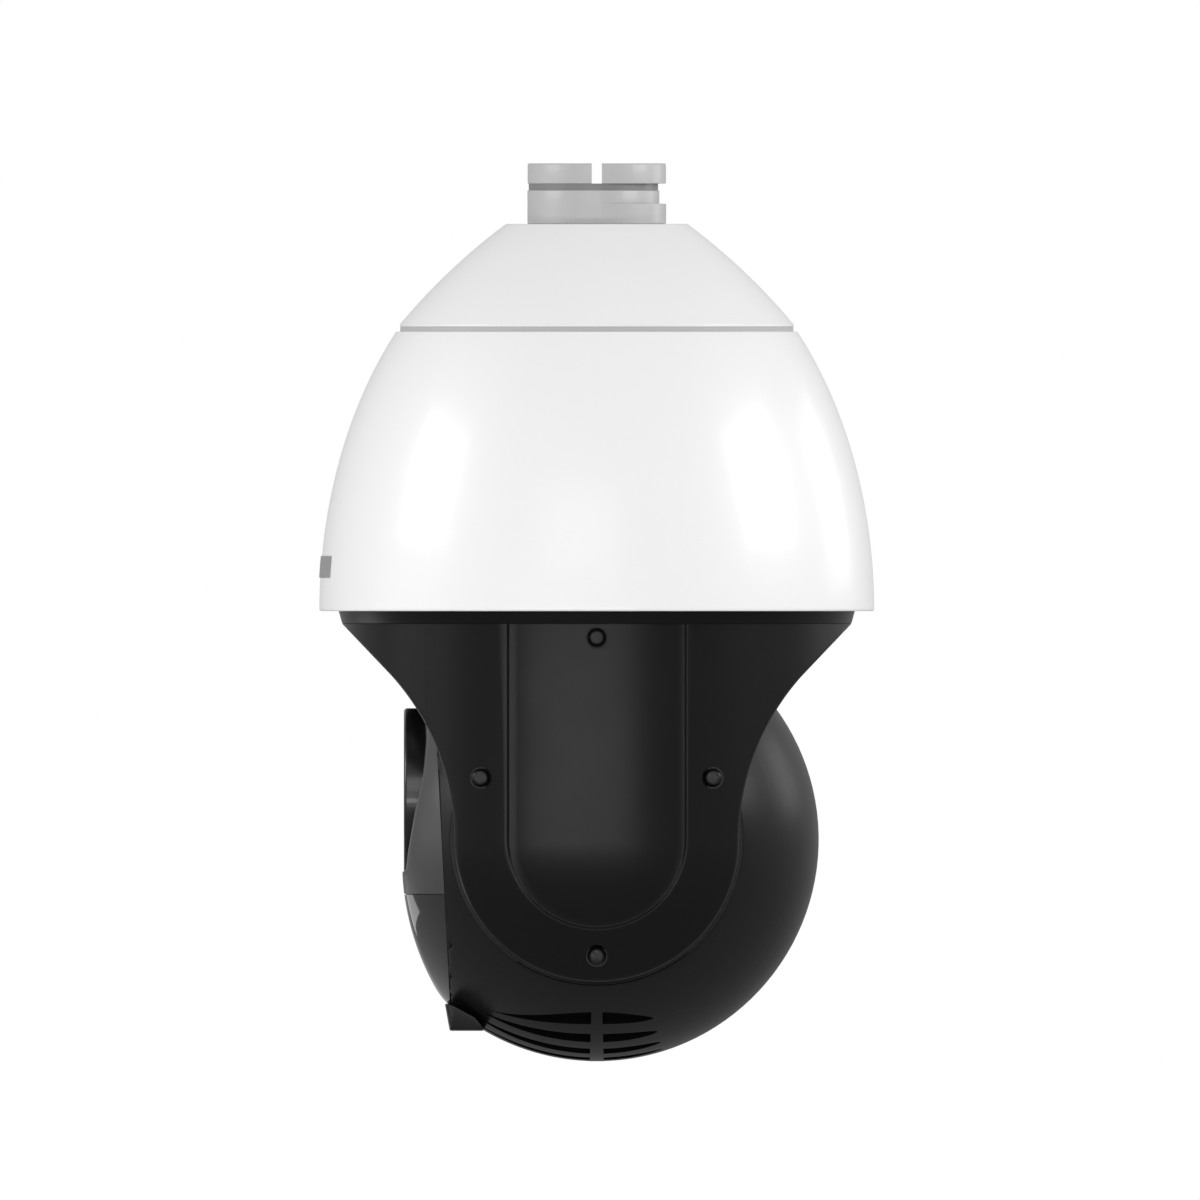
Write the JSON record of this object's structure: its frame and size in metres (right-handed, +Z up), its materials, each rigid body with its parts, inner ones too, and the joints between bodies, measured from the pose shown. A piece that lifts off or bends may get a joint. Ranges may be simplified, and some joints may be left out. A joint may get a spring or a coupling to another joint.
{
  "type": "ptz camera",
  "caption": "Pendant pan, tilt and zoom dome camera: white domed housing, black yoke and a turning ball head with a lens and an infrared window.",
  "frame": {"origin": "centre of the flat shoulder at the foot of the mounting collar, on the pan axis", "axes": "+Z up along the pan axis, -Y the way the lens looks at rest, X along the tilt axis"},
  "size_m": [0.22, 0.22, 0.356],
  "materials": {
    "collar_metal": "painted light grey die casting",
    "rubber": "matte",
    "white_shell": "smooth white powder coat",
    "grey_seal": "matte",
    "badge_grey": "satin",
    "cast_metal": "machined casting",
    "steel": "ground",
    "dark_steel": "blackened steel",
    "motor_black": "satin",
    "brass": "turned",
    "circuit_board": "solder mask",
    "black_shell": "fine grained black moulding",
    "head_shell": "fine grained charcoal moulding",
    "front_shell": "satin grey moulding",
    "gloss_black": "polished",
    "window_glass": "coated flat glass",
    "ir_glass": "dark infrared-passing window",
    "led_lens": "clear moulded",
    "barrel_black": "black anodised",
    "lens_glass": "coated lens glass",
    "filter_glass": "coated filter"
  },
  "bodies": {
    "housing": {"mount_collar": "collar_metal", "cable_gland": "rubber", "top_cap": "white_shell", "cap_seal": "grey_seal", "main_housing": "white_shell", "blank_badge": "badge_grey", "base_plate": "cast_metal", "base_screws": "steel", "pan_bearing_outer": "steel", "motor_bracket": "cast_metal", "pan_motor": "motor_black", "pan_belt": "rubber", "slip_ring_stator": "motor_black", "board_standoffs": "brass", "main_board": "circuit_board", "power_board": "circuit_board"},
    "yoke": {"turntable": "black_shell", "yoke_hood": "black_shell", "head_shroud": "black_shell", "pan_shaft": "cast_metal", "pan_bearing_inner": "steel", "pan_bearing_balls": "steel", "pan_pulley": "cast_metal", "slip_ring_rotor": "brass", "arm_cover_left": "black_shell", "arm_cover_right": "black_shell", "arm_seals": "rubber", "arm_screws": "dark_steel", "tilt_bearing_left": "steel", "tilt_bearing_right": "steel", "tilt_motor": "motor_black", "tilt_belt": "rubber", "driver_board": "circuit_board"},
    "head": {"head_rear_shell": "head_shell", "head_front_cover": "front_shell", "head_seal": "rubber", "lens_bezel": "gloss_black", "lens_window": "window_glass", "ir_window": "ir_glass", "ir_led_board": "circuit_board", "ir_leds": "led_lens", "camera_chassis": "cast_metal", "lens_barrel": "barrel_black", "front_lens": "lens_glass", "guide_rods": "steel", "sensor_board": "circuit_board", "processor_board": "circuit_board", "trunnion_left": "steel", "trunnion_right": "steel", "tilt_pulley": "cast_metal", "head_screws": "steel"},
    "pan_drive": {"pan_drive_pulley": "brass"},
    "tilt_drive": {"tilt_drive_pulley": "brass"},
    "zoom": {"zoom_group": "lens_glass"},
    "focus": {"focus_group": "lens_glass"},
    "ir_cut": {"ir_cut_filter": "filter_glass"}
  },
  "joints": [
    {"name": "pan", "type": "hinge", "parent": "housing", "child": "yoke", "pos_m": [0, 0, -0.135], "axis": [0, 0, 1], "continuous": true},
    {"name": "tilt", "type": "hinge", "parent": "yoke", "child": "head", "pos_m": [0, 0, -0.244], "axis": [1, 0, 0], "range_deg": [-15, 90]},
    {"name": "pan_drive_spin", "type": "hinge", "parent": "housing", "child": "pan_drive", "pos_m": [0, 0.062, -0.12], "axis": [0, 0, 1], "continuous": true},
    {"name": "tilt_drive_spin", "type": "hinge", "parent": "yoke", "child": "tilt_drive", "pos_m": [0.08, 0, -0.195], "axis": [1, 0, 0], "range_deg": [-45, 270]},
    {"name": "zoom_slide", "type": "slide", "parent": "head", "child": "zoom", "axis": [0, 1, 0], "range_m": [0, 0.018]},
    {"name": "focus_slide", "type": "slide", "parent": "head", "child": "focus", "axis": [0, 1, 0], "range_m": [-0.002, 0.006]},
    {"name": "ir_cut_slide", "type": "slide", "parent": "head", "child": "ir_cut", "axis": [1, 0, 0], "range_m": [-0.012, 0]}
  ],
  "couplings": [
    {"joint": "pan_drive_spin", "follows": "pan", "ratio": 5},
    {"joint": "tilt_drive_spin", "follows": "tilt", "ratio": 3}
  ]
}
